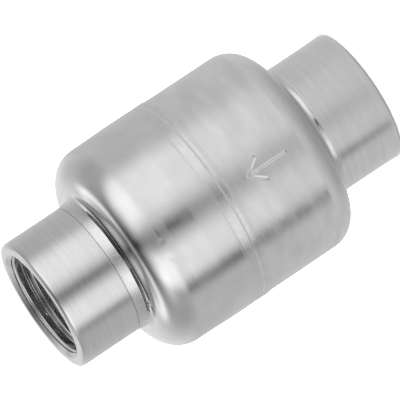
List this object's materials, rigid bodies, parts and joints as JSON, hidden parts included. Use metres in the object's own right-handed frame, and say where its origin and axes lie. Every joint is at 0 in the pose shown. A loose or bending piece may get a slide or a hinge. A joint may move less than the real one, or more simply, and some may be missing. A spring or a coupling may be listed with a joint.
{
  "type": "non-return valve",
  "caption": "Straight stainless steel non-return valve: two threaded sockets welded to a drawn barrel body with a spring-loaded poppet inside.",
  "frame": {"origin": "middle of the inlet socket's end face, on which the valve stands", "axes": "+Z along the bore in the direction of flow, from inlet to outlet; X and Y across"},
  "size_m": [0.0434, 0.0434, 0.0743],
  "materials": {
    "turned_stainless": "fine turned",
    "satin_drawn_stainless": "satin, circumferential grain",
    "bright_drawn_stainless": "bright, smooth",
    "weld_metal": "brushed weld",
    "pressed_stainless": "cold-rolled",
    "spring_steel": "drawn wire",
    "bush_plastic": "matt",
    "seal_rubber": "moulded"
  },
  "bodies": {
    "valve_body": {"inlet_socket": "turned_stainless", "outlet_socket": "turned_stainless", "inlet_shell": "satin_drawn_stainless", "outlet_shell": "bright_drawn_stainless", "inlet_socket_weld": "weld_metal", "outlet_socket_weld": "weld_metal", "body_weld": "weld_metal", "seat_plate": "pressed_stainless", "lower_guide": "pressed_stainless", "guide_cage": "pressed_stainless", "spring_seat": "pressed_stainless", "lower_guide_bush": "bush_plastic", "upper_guide_bush": "bush_plastic", "spring": "spring_steel"},
    "poppet": {"poppet_disc": "turned_stainless", "seat_seal": "seal_rubber", "seal_retainer": "turned_stainless", "stem": "turned_stainless", "lock_washer": "spring_steel", "stem_nut": "turned_stainless"}
  },
  "joints": [
    {"name": "poppet_lift", "type": "slide", "parent": "valve_body", "child": "poppet", "axis": [0, 0, 1], "range_m": [0, 0.005], "stiffness_N_per_m": 240, "springref_m": -0.003, "deforming": ["spring"]}
  ]
}
